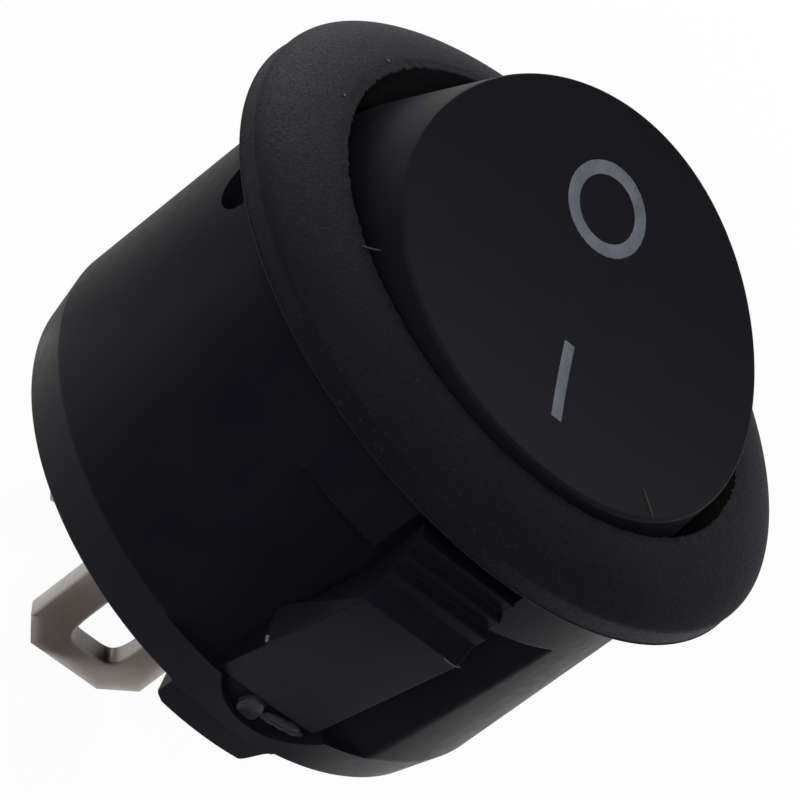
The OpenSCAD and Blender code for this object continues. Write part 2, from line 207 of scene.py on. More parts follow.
# %% Grid to mesh, and mesh to piece
def skin(name, grid, ring=False, tips=(), flat_ends=False, crisp=35):
    """Mesh through grid[i, j] = (x, y, z) in millimetres. Each row closes on itself; ring joins the last row
    to the first; tips holds (row, point) pairs, each closed by a fan; flat_ends closes the first and last
    rows by one face each; edges sharper than crisp degrees stay sharp."""
    rows, cols = grid.shape[:2]
    number = np.arange(rows*cols).reshape(rows, cols)
    low = number if ring else number[:-1]
    high = np.roll(number, -1, axis=0) if ring else number[1:]
    faces = np.stack([low, np.roll(low, -1, 1), np.roll(high, -1, 1), high], axis=-1).reshape(-1, 4).tolist()
    points = [grid.reshape(-1, 3)]
    for row, point in tips:
        edge = number[row]
        centre = np.full(cols, rows*cols + len(points) - 1)
        faces += np.stack([edge, np.roll(edge, -1), centre], axis=-1).tolist()
        points.append(np.array([point], float))
    if flat_ends:
        faces += [number[0].tolist(), number[-1].tolist()]
    mesh = bpy.data.meshes.new(name)
    mesh.from_pydata((np.concatenate(points)*MM).tolist(), [], faces)
    shape = bmesh.new()
    shape.from_mesh(mesh)
    bmesh.ops.recalc_face_normals(shape, faces=shape.faces)
    shape.to_mesh(mesh)
    shape.free()
    mesh.shade_smooth()
    mesh.set_sharp_from_angle(angle=math.radians(crisp))
    return mesh


def piece(mesh, finish, body, slot, *nodes):
    """An object for a mesh: it rides on a body and stands for the given solids. The argument slot is not
    used.
    """
    thing = bpy.data.objects.new(mesh.name, mesh)
    scene.collection.objects.link(thing)
    mesh.materials.append(finish)
    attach(thing, body)
    if nodes:
        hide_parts(*nodes)
    print(mesh.name, len(mesh.polygons), "faces on", body)


print("grid helpers ready")

# %% Angles, turned surfaces and uneven edges
TINY = 1e-9  # keeps a division away from zero


def around(count):
    """Angles of count even steps round a full turn; the last step leads back to the first."""
    return np.linspace(0, 2*np.pi, count, endpoint=False)


def quarter(count):
    """Angles of count points along a quarter turn, both ends included."""
    return np.linspace(0, np.pi/2, count)


def turned(radius, height, angle):
    """A turned surface (r cos a, r sin a, z) from the radius and height at each row, and at each angle if
    they vary."""
    return np.stack(np.broadcast_arrays(radius*np.cos(angle), radius*np.sin(angle), height), axis=-1)


def waves(angle, counts, seed):
    """An uneven edge that closes on itself: a sum of cosines with whole counts per turn and seeded phases,
    about -1 to 1."""
    start = np.random.default_rng(seed).uniform(0, 2*np.pi, len(counts))
    return np.cos(np.outer(angle, counts) + start).sum(axis=1)/np.sqrt(2*len(counts))


print("turning helpers ready")

# %% [markdown]
# ## Flange
# The domed ring that lies on the panel. Its section is a superellipse between a short upright rim and a
# rounded lip, turned about the switch's axis. A thin edge of moulding flash stands out along the rim's
# bottom, a parabola eases the rim into the dome, and a crisp burr stands in from the lip by up to a tenth
# of a millimetre, as a worn mould leaves it. The burr is least on the O and I sides, where the rocker comes
# close. A Screw modifier could turn the section, but it would make every angle alike, and the burr isn't.

# %% Section of the flange
flange_r, rim_r, rim_mid, rim_h, flange_h = 11.47, 11.46, 0.3, 0.65, 2.0
well_r, lip_round, under_r, under_z = 8.799, 0.06, 9.6, 0.2
dome_power, dome_start = 1.34, 0.22
dome_end = well_r + lip_round
dome_a = np.linspace(dome_start, np.pi/2, 33)
dome = np.stack([dome_end + (flange_r - dome_end)*np.clip(np.cos(dome_a), 0, 1)**dome_power,
                 rim_h + (flange_h - rim_h)*np.sin(dome_a)**dome_power], axis=1)
lip_a = quarter(9)[1:]
lip = np.stack([dome_end - lip_round*np.sin(lip_a), flange_h - lip_round + lip_round*np.cos(lip_a)], axis=1)
dome_slope = (dome[0, 0] - dome[1, 0])/(dome[1, 1] - dome[0, 1])
ease_h = 2*(rim_r - dome[0, 0])/dome_slope
ease_s = np.linspace(0, 1, 10, endpoint=False)
ease = np.stack([rim_r - (rim_r - dome[0, 0])*ease_s**2, dome[0, 1] - ease_h*(1 - ease_s)], axis=1)
flash = np.array([[under_r, 0.0], [11.44, 0.0], [11.485, 0.012],
                  [11.495, 0.035], [11.485, 0.06], [11.462, 0.09]])
rim = np.concatenate([flash, [[rim_r, rim_mid]], ease])
well_wall = np.array([[well_r, 1.9], [well_r, 0.8], [well_r, under_z], [under_r, under_z]])
flange_profile = np.concatenate([rim, dome, lip, well_wall])
print("flange section:", len(flange_profile), "points, eased over", round(ease_h, 3))

# %% Burr and flange
burr_rows = 4  # rows of the dome that the burr takes along
least_burr, more_burr, least_wave, more_wave, burr_drop = 0.02, 0.06, 0.012, 0.035, 0.012
flange_turn = around(720)
ragged = np.zeros(len(flange_profile))
ragged[len(rim) + len(dome) - burr_rows:len(rim) + len(dome) + len(lip)] = 1
lip_wave = waves(flange_turn, np.arange(17, 200, 7), 4)
drop_wave = waves(flange_turn, np.arange(7, 90, 4), 9)
off_side = np.sin(flange_turn)**2
burr_in = least_burr + more_burr*off_side + (least_wave + more_wave*off_side)*lip_wave
flange_radius = flange_profile[:, :1] - np.outer(ragged, burr_in)
flange_height = flange_profile[:, 1:] - burr_drop*np.outer(ragged, 1 + drop_wave)
flange_grid = turned(flange_radius, np.minimum(flange_height, flange_h), flange_turn)
piece(skin("flange", flange_grid, ring=True), spark_black, "housing", "housing_plastic", "housing")

# %% [markdown]
# ## Barrel
# One skin covers the outside of the barrel and the well inside it. Outside, the radius is a function of
# angle and height: the smaller of the round barrel and of the two sloped flats behind the wings, with the
# window behind the teeth and the round scoop at the wing's root cut in. Boolean modifiers could cut these,
# but their long thin triangles shade badly. A round hole on a square grid would have a ragged edge, so the
# grid lines around each pivot hole are bent from squares to circles.

# %% Rows of the barrel, closest where its outside turns
barrel_r, foot_r, barrel_top, barrel_depth, bevel_h = 9.95, 9.5, 0.3, 12.0, 1.9
flat_top_z, flat_low_z = -3.0, -10.2
pivot_z, hole_steps, bent_steps = -1.45, 12, 16
barrel_turn = around(720)
hole_r = hole_steps*barrel_r*(barrel_turn[1] - barrel_turn[0])
hole_rows = pivot_z + hole_r/hole_steps*np.arange(bent_steps, -bent_steps - 1, -1)
ledge_rows = flat_top_z - np.array([-0.1, -0.05, -0.025, -0.01, 0, 0.01, 0.025, 0.05, 0.15, 0.28, 0.32])
flat_rows = np.linspace(-3.5, -9.0, 24)
root_rows = flat_low_z + np.array([0.7, 0.4, 0.2, 0.12, 0.08, 0.03])
scoop_rows = np.arange(-10.19, -11.45, -0.035)
foot_rows = np.array([-11.6, -11.75, -11.85])
barrel_z = np.concatenate([[barrel_top, 0.0], hole_rows, ledge_rows, flat_rows,
                           root_rows, scoop_rows, foot_rows])
print("barrel rows", len(barrel_z), "hole radius", round(hole_r, 3))


# %% Outside of the barrel
def step(value, edge, half):
    """0 below edge, 1 above it, and a smooth S of half-width half between."""
    t = np.clip((value - edge)/(2*half) + 0.5, 0, 1)
    return t*t*(3 - 2*t)


def soft_min(a, b, k):
    """The smaller of two heights, with the crease between them rounded over the width k."""
    h = np.clip(0.5 + 0.5*(b - a)/k, 0, 1)
    return b + (a - b)*h - k*h*(1 - h)


flat_top_x, flat_lean, flat_crease, ledge_soft, root_soft = 8.35, 0.6, 0.07, 0.03, 0.02
window_half, window_top_z, window_low_z, window_r = 2.25, -0.45, -3.3, 8.86
scoop_r, scoop_x, scoop_y, scoop_z, scoop_soft = 2.6, 9.2, 0.3, -8.75, 0.03
least_cos = 0.3  # holds far round the barrel, where no flat reaches
turn, z = np.meshgrid(barrel_turn, barrel_z)
side = np.abs((turn + np.pi/2) % np.pi - np.pi/2)
side_cos = np.maximum(np.cos(side), least_cos)
round_r = barrel_r - (barrel_r - foot_r)*np.clip((bevel_h - barrel_depth - z)/bevel_h, 0, 1)
flat_x = flat_top_x + flat_lean*np.clip((flat_top_z - z)/(flat_top_z - flat_low_z), 0, 1)
in_flat = step(-z, -flat_top_z, ledge_soft)*(1 - step(-z, -flat_low_z, root_soft))
radius = round_r - (round_r - soft_min(round_r, flat_x/side_cos, flat_crease))*in_flat
in_window = (side < math.asin(window_half/barrel_r)) & (z < window_top_z) & (z > window_low_z)
radius = np.where(in_window, window_r, radius)
in_scoop = 1 - step(np.hypot(radius*np.sin(turn) - scoop_y, z - scoop_z), scoop_r, scoop_soft)
radius = radius - in_scoop*np.maximum(radius - scoop_x/side_cos, 0)
print("barrel grid", radius.shape, "radius from", round(radius.min(), 3), "to", radius.max())

# %% Pivot holes
hole_floor_r, hole_margin = 8.9, 0.01
across = barrel_r*((turn % np.pi) - np.pi/2)
along = z - pivot_z
square = np.maximum(np.abs(across), np.abs(along))
reach = np.maximum(np.hypot(across, along), TINY)
fade = np.clip((square - hole_r)/(bent_steps/hole_steps*hole_r - hole_r), 0, 1)
pull = np.where(fade < 1, (1 - fade)*square/reach + fade, 1)
turn = turn + across*(pull - 1)/barrel_r
z = z + along*(pull - 1)
in_hole = square < hole_r - hole_margin
radius = np.where(in_hole, hole_floor_r, radius)
outside = turned(radius, z, turn)
print("grid points in the two holes:", in_hole.sum())

# %% Foot, well and skin of the barrel
foot_edge, pad_edge = 0.14, 0.015
pad_near, pad_far, near_soft, far_soft = -2.5, 1.85, 0.1, 0.15
well_floor, pit_r, pit_floor, soft = -2.2, 7.55, -4.0, 0.05
chamber_x, chamber_y, chamber_most, chamber_floor, fan_share = 7.0, 3.6, 7.5, -10.5, 0.3
edge_a = quarter(6)
foot_y = foot_r*np.sin(barrel_turn)
above_pad = step(foot_y, pad_near, near_soft)*(1 - step(foot_y, pad_far, far_soft))
foot_round = foot_edge - (foot_edge - pad_edge)*above_pad
foot = turned(foot_r - np.outer(1 - np.cos(edge_a), foot_round),
              np.outer(1 - np.sin(edge_a), foot_round) - barrel_depth, barrel_turn)
under_radii = np.array([[8.6], [6.0], [3.0]])
under = turned(under_radii, -barrel_depth, barrel_turn)
chamber_r = np.minimum(chamber_x/np.maximum(np.abs(np.cos(barrel_turn)), TINY),
                       chamber_y/np.maximum(np.abs(np.sin(barrel_turn)), TINY))
chamber_r = np.minimum(chamber_r, chamber_most)
inside = ((well_r, barrel_top), (well_r, well_floor + soft), (well_r - soft, well_floor),
          (pit_r + soft, well_floor), (pit_r, well_floor - soft), (pit_r, pit_floor), (chamber_r, pit_floor),
          (chamber_r, chamber_floor), (fan_share*chamber_r, chamber_floor))
inside_rows = [turned(r, h, barrel_turn)[None] for r, h in inside]
barrel_grid = np.concatenate([under[::-1], foot[::-1], outside[::-1], *inside_rows])
barrel_tips = ((0, (0, 0, -barrel_depth)), (-1, (0, 0, chamber_floor)))
piece(skin("barrel", barrel_grid, tips=barrel_tips), smooth_black, "housing", "housing_plastic", "housing")

# %% [markdown]
# ## Painted light in the well
# Painted light greys the well's wall below the lip and lifts the deep shade there. The barrel's finish could
# be mixed with a pale one there, but light that strikes the wall at such a low angle would still show the
# moulding's gloss. So the painted light is a paler turned ring of its own, a few thousandths of a millimetre
# in front of the wall.

# %% Painted light in the well
# A paler ring just in front of the wall: painted light that lifts the shade in the well.
well_painted_light = black_plastic("well_painted_light", dark=0.016, pale=0.024, rough=(0.55, 0.7), gloss=0.06)
lining_top, lining_low, lining_front, lining_back = 1.89, -0.35, well_r - 0.006, well_r + 0.02
lining_rows = np.array([[lining_front, lining_top], [lining_front, lining_low],
                      [lining_back, lining_low], [lining_back, lining_top]])
lining_ring = turned(lining_rows[:, :1], lining_rows[:, 1:], barrel_turn)
piece(skin("well_painted_light", lining_ring, ring=True), well_painted_light, "housing", "housing_plastic")

# %% [markdown]
# ## Snap wings
# Two sprung tongues stand away from the barrel and hold the panel's back edge with three stepped teeth.
# Each is one outline, carried across the wing's width, which grows a little towards the root as draft.
# Solidify and Bevel could do that to a flat face, but the draft would be lost. Small parabolas round the
# corners, and quarter circles round both sides, like a moulding's edge.

# %% Soft corners and plates
def soft_corners(points, cut, steps=5):
    """A closed outline whose corners C become parabolas (1-t)^2 A + 2t(1-t) C + t^2 B, with A and B the
    distance cut away."""
    back = np.roll(points, 1, axis=0) - points
    ahead = np.roll(points, -1, axis=0) - points
    a = points + back/np.linalg.norm(back, axis=1, keepdims=True)*cut
    b = points + ahead/np.linalg.norm(ahead, axis=1, keepdims=True)*cut
    t = np.linspace(0, 1, steps)[None, :, None]
    return ((1 - t)**2*a[:, None] + 2*t*(1 - t)*points[:, None] + t**2*b[:, None]).reshape(-1, 2)


def plate(outline, half, edge):
    """A plate: the outline (p, q) at heights w from -half to half. Towards both faces w nears half as
    edge sin s while the outline draws in by edge (1 - cos s) along its normals. The grid holds (w, p, q)."""
    ahead = np.roll(outline, -1, axis=0) - np.roll(outline, 1, axis=0)
    area = np.sum(outline[:, 0]*np.roll(outline[:, 1], -1) - outline[:, 1]*np.roll(outline[:, 0], -1))
    normal = np.stack([ahead[:, 1], -ahead[:, 0]], axis=1)*np.sign(area)
    normal /= np.maximum(np.linalg.norm(normal, axis=1, keepdims=True), TINY)
    s = quarter(5)[::-1]
    w = half - edge + edge*np.sin(s)
    draw = edge*(1 - np.cos(s))
    flat = outline[None] - normal[None]*np.concatenate([draw, draw[::-1]])[:, None, None]
    level = np.broadcast_to(np.concatenate([-w, w[::-1]])[:, None], flat.shape[:2])
    return np.dstack([level, flat])


print("plate helpers ready")

# %% Snap wings
wing_half, root_x, tip_x, end_x = 1.95, 9.45, 11.25, 10.43
root_z, tip_z, end_z, first_tooth = -10.35, -3.6, -1.15, 1.23
root_thick, tip_thick, end_thick, notch_in, notch_share, draft = 1.0, 1.3, 0.75, 0.1, 0.8, 0.05
tooth_dz = (end_z - tip_z - first_tooth)/2
crest_z = np.array([tip_z, tip_z + first_tooth, end_z - tooth_dz, end_z])
crest = np.stack([np.linspace(tip_x, end_x, 4), crest_z], axis=1)
notch = crest[1:] - np.array([notch_in, notch_share*tooth_dz])
teeth = np.stack([crest[:-1], notch], axis=1).reshape(-1, 2)
wing_outline = np.concatenate([[[root_x - root_thick, root_z], [root_x, root_z]], teeth,
                               [crest[-1], [end_x - end_thick, end_z], [tip_x - tip_thick, tip_z]]])


def drafted(grid):
    """The grid with its width grown by the share draft from the wing's tip down to its root."""
    wider = 1 + draft*np.clip((tip_z - grid[..., 2])/(tip_z - root_z), 0, 1)
    return np.stack([grid[..., 0], grid[..., 1]*wider, grid[..., 2]], axis=-1)


def both_sides(name, grid, crisp):
    """A smooth piece of the housing on the I side, and its mirror image on the O side."""
    for ending, mirror in (("_i_side", 1), ("_o_side", -1)):
        mesh = skin(name + ending, grid*np.array([mirror, 1, 1]), flat_ends=True, crisp=crisp)
        piece(mesh, smooth_black, "housing", "housing_plastic", "housing")


wing_grid = plate(soft_corners(wing_outline, cut=0.06), wing_half, edge=0.03)[..., [1, 0, 2]]
both_sides("wing", drafted(wing_grid), crisp=28)

# %% [markdown]
# ## Gate scar, burrs and painted light
# The plastic entered the mould below the wing on the I side. The broken gate left a round stub and a torn
# strip in the scoop. A thin pale web against the wing's side is a painted reflection, and a pale tube at the
# crest's end is a painted glint. Sculpting could make such scars, but it leaves no numbers to change later.
# The stub is a profile turned about a line along X, the strip, the glint and the small burrs are tubes along
# parabolas with a lumpy radius, and the web is a thin plate.

# %% Gate stub
stub_y, stub_z, stub_lumps = -0.05, -10.98, 0.06
stub_profile = np.array([[0.46, 9.1], [0.46, 9.34], [0.43, 9.40], [0.37, 9.39], [0.29, 9.34], [0.12, 9.33]])
stub_turn = around(40)
stub_r = stub_profile[:, :1]*(1 + stub_lumps*waves(stub_turn, np.arange(2, 9), 6))
stub_x = stub_profile[:, 1]
stub_grid = turned(stub_r, stub_x[:, None], stub_turn)[..., [2, 0, 1]] + np.array([0, stub_y, stub_z])
stub_tips = tuple((row, (stub_x[row], stub_y, stub_z)) for row in (0, -1))
piece(skin("gate_stub", stub_grid, tips=stub_tips), torn_black, "housing", "housing_plastic")


# %% Torn strips, burrs and a painted glint
def strand(name, line, thick, finish, body, slot):
    """A tube along the parabola through three points. Its radius is thick, a little lumpy, and falls to
    end_share of that at both ends."""
    lump_share, end_share = 0.15, 0.35
    t = np.linspace(0, 1, 41)[:, None]
    first, middle, last = (np.array(p, float) for p in line)
    path = first*(1 - t)*(1 - 2*t) + 4*middle*t*(1 - t) + last*t*(2*t - 1)
    ahead = np.gradient(path, axis=0)
    ahead /= np.linalg.norm(ahead, axis=1, keepdims=True)
    across = np.cross(ahead, np.array([0.0, 0.0, 1.0]))
    across /= np.linalg.norm(across, axis=1, keepdims=True)
    above = np.cross(across, ahead)
    a = around(9)[None, :, None]
    lumps = lump_share*waves(2*np.pi*t[:, 0], np.arange(1, 5), 11)[:, None]
    size = (thick*(1 + lumps)*(end_share + (1 - end_share)*np.sin(np.pi*t)**0.5))[:, None]
    grid = path[:, None] + size*(np.cos(a)*across[:, None] + np.sin(a)*above[:, None])
    piece(skin(name, grid, flat_ends=True, crisp=60), finish, body, slot)


scars_and_glint = (
    ("gate_tear", [[9.28, 0.35, -10.97], [9.34, 1.15, -10.8], [9.3, 1.95, -10.68]], 0.17, torn_black),
    ("gate_fold", [[9.36, 0.45, -10.78], [9.42, 1.05, -10.6], [9.38, 1.7, -10.52]], 0.13, torn_black),
    # A pale tube at the crest's end: a painted glint.
    ("crest_glint", [[11.2, 1.3, -3.62], [11.2, 1.7, -3.68], [11.18, 2.08, -3.62]], 0.045, whitened_and_glint),
    ("edge_burr", [[9.98, -2.02, -8.02], [9.84, -2.04, -7.99], [9.7, -2.03, -7.97]], 0.07, whitened_and_glint),
)
for strip_name, strip_line, strip_thick, strip_finish in scars_and_glint:
    strand(strip_name, strip_line, strip_thick, strip_finish, "housing", "housing_plastic")

# %% Web of painted reflection
# The web's paler grey is a painted reflection of the floor in the wing's side face.
web = np.array([[10.06, -8.0], [11.17, -3.75], [11.04, -3.73], [10.2, -5.1],
                [9.2, -6.6], [8.8, -7.4], [8.8, -7.75], [9.3, -7.98]])
web_grid = plate(soft_corners(web, cut=0.05), half=0.02, edge=0.01)[..., [1, 0, 2]]
web_grid = web_grid - np.array([0, wing_half, 0])
piece(skin("side_reflection_web", drafted(web_grid), flat_ends=True), web_painted_reflection, "housing", "housing_plastic")

# %% [markdown]
# ## Foot pads
# A low pad stands under the barrel's foot below each wing. A cube with a Bevel modifier would come close,
# but the pad follows the foot's circle. So a rounded section is carried along that circle; its depth is
# full over the pad, falls in an S at one end, where the mould is filleted, and stops short at the other.

# %% Foot pads
pad_h, pad_r, pad_in_r, pad_root = 0.93, 9.497, 8.05, 0.1
pad_from, pad_ease, pad_ease_h = -2.455, 0.4, 0.25
fillet_mid, fillet_half = 1.52, 0.28
pad_y = np.concatenate([[pad_from, -2.44, -2.41], np.linspace(-2.36, 1.1, 14),
                        np.linspace(1.15, pad_far, 18)])
pad_start = 1 - pad_ease_h*np.clip(1 - (pad_y - pad_from)/pad_ease, 0, 1)**2
pad_fall = pad_h*pad_start*(1 - step(pad_y, fillet_mid, fillet_half))
pad_angle = np.arcsin(pad_y/pad_r)
section = soft_corners(np.array([[pad_in_r, pad_root], [pad_r, pad_root], [pad_r, -1.0], [pad_in_r, -1.0]]),
                       cut=0.05, steps=6)
pad_depth = np.where(section[None, :, 1] > 0, pad_root, section[None, :, 1]*pad_fall[:, None])
on_outside = section[:, 0] > (pad_in_r + pad_r)/2
pad_slope = np.where(on_outside, 0.5*(barrel_r - foot_r)/bevel_h, 0)
pad_radius = section[:, 0] + pad_slope*np.minimum(pad_depth, 0)
both_sides("pad", turned(pad_radius, -barrel_depth + pad_depth, pad_angle[:, None]), crisp=40)

# %% [markdown]
# ## Rocker
# The cap that the finger tips over. It is one skin on polar lines: the dished face, a rounded edge, the
# flared side, the underside that slopes up from a keel to both ends, the inner skirt, the hollow and the
# boss with its bore. Cutting a cylinder with Booleans could give the same solid, but the rounded edge runs
# up and down along the dish, and one grid can follow it. The grid is worked out level, where its formulas
# are simple, and then tilted about the pivot to rest on its I side.

# %% Formulas of the rocker
rocker_r, flare, side_r, dish_r, face_mid = 7.4, 0.22, 8.549, 35.0, 3.7
tilt = math.radians(15.2)


def dished(x):
    """Height of the face: an arc of radius dish_r along X, lowest in the middle."""
    return face_mid + dish_r - np.sqrt(dish_r**2 - x**2)


def flared(height):
    """Radius of the side: it grows by flare for each millimetre down, as far as side_r."""
    return np.minimum(rocker_r + flare*(dished(rocker_r) - height), side_r)


def at_rest(grid):
    """The level rocker turned about the pivot's line, so that the I side is down."""
    x, y, up = grid[..., 0], grid[..., 1], grid[..., 2] - pivot_z
    tipped_x = x*math.cos(tilt) + up*math.sin(tilt)
    tipped_up = up*math.cos(tilt) - x*math.sin(tilt)
    return np.stack([tipped_x, y, tipped_up + pivot_z], axis=-1)


print("face from", face_mid, "up to", round(dished(rocker_r), 3))

# %% Outline of the rocker
keel_z, skirt_z, skirt_r, settle_rounds = -2.072, -1.982, 7.2, 12
rocker_turn = around(360)
cosine = np.cos(rocker_turn)
face_end_r = np.full_like(cosine, rocker_r)
low_z = np.full_like(cosine, keel_z)
# The face's end and the keel each depend on the flare there, so a few rounds settle both.
for _ in range(settle_rounds):
    face_end_r = flared(dished(face_end_r*cosine))
    low_z = keel_z + math.tan(tilt)*np.abs(flared(low_z)*cosine)
top = dished(face_end_r*cosine)
print("face ends at radius", round(face_end_r.min(), 3), "to", round(face_end_r.max(), 3))

# %% Rocker skin
# The edge is cut by a parabola, which is larger towards the I end.
edge_cut = 0.09 + 0.09*np.maximum(cosine, 0)
side_cut = 0.09 + 0.07*np.maximum(cosine, 0)
keel_cut = 0.12
hollow_r, boss_r, bore_r = 6.0, 2.4, 1.55
hollow_top, boss_end, bore_top = 1.9, -4.95, 1.2
t = np.linspace(0, 1, 9)[:, None]
flat_end_r = face_end_r - edge_cut
face_r = np.linspace(0.03, 1, 40)[:, None]*flat_end_r
corner_r = (1 - t)**2*flat_end_r + 2*t*(1 - t)*face_end_r + t**2*flared(top - side_cut)
corner_z = (1 - t)**2*dished(flat_end_r*cosine) + 2*t*(1 - t)*top + t**2*(top - side_cut)
side_z = top - side_cut + np.linspace(0.05, 1, 16)[:, None]*(low_z + keel_cut - top + side_cut)
keel_r = flared(low_z)[None] + (skirt_r - flared(low_z))*np.array([[0.08], [0.5], [1.0]])
keel_line = keel_z + math.tan(tilt)*np.abs(keel_r*cosine)
skirt_end = np.minimum(skirt_z, keel_line[-1:])
inner = ((skirt_r, skirt_end), (hollow_r, skirt_end), (hollow_r, hollow_top), (boss_r, hollow_top),
         (boss_r, boss_end), (bore_r, boss_end), (bore_r, bore_top))
level = np.ones((1, len(cosine)))
inner_r = np.concatenate([r*level for r, h in inner])
inner_z = np.concatenate([h*level for r, h in inner])
rocker_radius = np.concatenate([face_r, corner_r[1:], flared(side_z), keel_r, inner_r])
rocker_height = np.concatenate([dished(face_r*cosine), corner_z[1:], side_z, keel_line, inner_z])
cap_grid = at_rest(turned(rocker_radius, rocker_height, rocker_turn))
cap_tips = ((0, at_rest(np.array([0, 0, face_mid]))), (-1, at_rest(np.array([0, 0, bore_top]))))
piece(skin("rocker_cap", cap_grid, tips=cap_tips), satin_black, "rocker", "rocker_plastic", "rocker")

# %% [markdown]
# ## Trunnions
# Two short pins on the rocker turn in the barrel's holes, where their ends can be seen. A cylinder with a
# Bevel modifier would do; a profile turned about the pivot's line gives the same rounded end with fewer
# steps.

# %% Trunnions
pin_in, pin_shoulder, pin_out = 6.3, 9.0, 9.5
pin_size, pin_round, pin_tip = 1.0, 0.15, 0.4
pin_turn = around(48)
pin_a = quarter(6)
pin_end_r = pin_size - pin_round + pin_round*np.cos(pin_a)
pin_end_y = pin_out - pin_round + pin_round*np.sin(pin_a)
pin_r = np.concatenate([[pin_tip, pin_size, pin_size], pin_end_r, [pin_tip]])
pin_y = np.concatenate([[pin_in, pin_in, pin_shoulder], pin_end_y, [pin_out]])
pin_grid = turned(pin_r[:, None], pin_y[:, None], pin_turn)[..., [0, 2, 1]] + np.array([0, 0, pivot_z])
for pin_name, mirror in (("trunnion_near", -1), ("trunnion_far", 1)):
    pin_tips = ((0, (0, pin_in*mirror, pivot_z)), (-1, (0, pin_out*mirror, pivot_z)))
    piece(skin(pin_name, pin_grid*np.array([1, mirror, 1]), tips=pin_tips),
          smooth_black, "rocker", "rocker_plastic", "rocker")

# %% [markdown]
# ## Printed marks
# The ring for off and the bar for on are pad-printed in a pale grey. They could be painted in the rocker's
# finish, but films of their own keep a crisp edge in every view. They are thin and laid on the dish: a
# ribbon section carried round a circle and along a line, with a ring edge that wanders by a hundredth of a
# millimetre, in an ink with a few pinholes.

# %% Print ink
def print_ink():
    """Pale grey ink, a little violet, with darker pinholes."""
    hole_waves, cloud_waves = 7000.0, 1500.0
    material, tree, shader = new_finish("print_ink")
    place = place_of(tree)
    covered = spread(tree, noise(tree, place, hole_waves, 3.0), 0.26, 0.32)
    cloud = spread(tree, noise(tree, place, cloud_waves, 2.0))
    grey = blend_colours(tree, cloud, (0.104, 0.110, 0.133), (0.143, 0.151, 0.179))
    join(tree, blend_colours(tree, covered, (0.03, 0.03, 0.036), grey), shader.inputs["Base Color"])
    join(tree, spread(tree, cloud, 0.0, 1.0, 0.5, 0.62), shader.inputs["Roughness"])
    shader.inputs["Specular IOR Level"].default_value = 0.25
    return material


ink = print_ink()
print("finish", ink.name)

# %% Marks
film = np.array([[1, -0.03], [1, 0.006], [0.94, 0.012], [-0.94, 0.012], [-1, 0.006], [-1, -0.03]])
ring_x, ring_y, ring_mid_r, ring_half, ring_wander = -3.645, -0.10, 1.40, 0.235, 0.008
bar_from, bar_to, bar_y, bar_half = 1.86, 5.01, -0.0875, 0.213
ring_turn = around(180)
ring_r = ring_mid_r + film[:, :1]*(ring_half + ring_wander*waves(ring_turn, np.arange(11, 60, 6), 3))
on_ring = turned(ring_r, film[:, 1:], ring_turn) + np.array([ring_x, ring_y, 0])
on_ring[..., 2] += dished(on_ring[..., 0])
piece(skin("mark_off", at_rest(on_ring), ring=True), ink, "rocker", "rocker_plastic")
bar_x = np.linspace(bar_from, bar_to, 25)[:, None]
bar_lift = dished(bar_x) + film[:, 1]
on_bar = np.stack(np.broadcast_arrays(bar_x, bar_y + film[:, 0]*bar_half, bar_lift), axis=-1)
piece(skin("mark_on", at_rest(on_bar), flat_ends=True), ink, "rocker", "rocker_plastic")

# %% [markdown]
# ## Solder lugs
# Each lug is a stamped plate with bevelled corners and an oblong eye for the wire. A filled curve with a
# hole could be extruded, but the punch leaves a wide soft edge in front and a small one behind. Seen along
# lines from the eye's middle, the plate runs from the eye's edge to the outline, so one small rounded
# section, carried once round the eye and stretched between the two, makes the whole plate. Plain plates
# make the ends inside the housing.

# %% Lug finish
CUT, TARNISHED, PALE = 0.0, 0.4, 1.0  # what the attribute wear stands for


def lug_plating():
    """Tin on brass. The attribute wear sets the look: cut walls, dark with punch lines along X; tarnished
    brown; or pale and less shiny."""
    line_waves, cloud_waves, line_depth = 9000.0, 520.0, 0.0006
    material, tree, shader = new_finish("lug_plating")
    place = place_of(tree)
    stretch = add(tree, "ShaderNodeMapping", Scale=(0.08, 1.0, 1.0))
    join(tree, place, stretch.inputs["Vector"])
    lines = noise(tree, stretch.outputs["Vector"], line_waves, 3.0)
    cloud = spread(tree, noise(tree, place, cloud_waves, 3.0), 0.35, 0.65)
    cut = blend_colours(tree, spread(tree, lines, 0.4, 0.6), (0.09, 0.08, 0.07), (0.24, 0.23, 0.21))
    brown = blend_colours(tree, cloud, (0.365, 0.305, 0.277), (0.43, 0.367, 0.338))
    pale = blend_colours(tree, spread(tree, lines, 0.35, 0.6), (0.58, 0.58, 0.54), (0.70, 0.69, 0.66))
    wear = add(tree, "ShaderNodeAttribute")
    wear.attribute_name = "wear"
    covered = spread(tree, wear.outputs["Fac"], CUT, TARNISHED)
    drawn_off = spread(tree, wear.outputs["Fac"], TARNISHED, PALE)
    tone = blend_colours(tree, drawn_off, blend_colours(tree, covered, cut, brown), pale)
    join(tree, tone, shader.inputs["Base Color"])
    join(tree, spread(tree, drawn_off, 0.0, 1.0, 0.32, 0.5), shader.inputs["Roughness"])
    join(tree, spread(tree, drawn_off, 0.0, 1.0, 1.0, 0.75), shader.inputs["Metallic"])
    bump(tree, lines, line_depth, shader)
    return material


plating = lug_plating()
print("finish", plating.name)

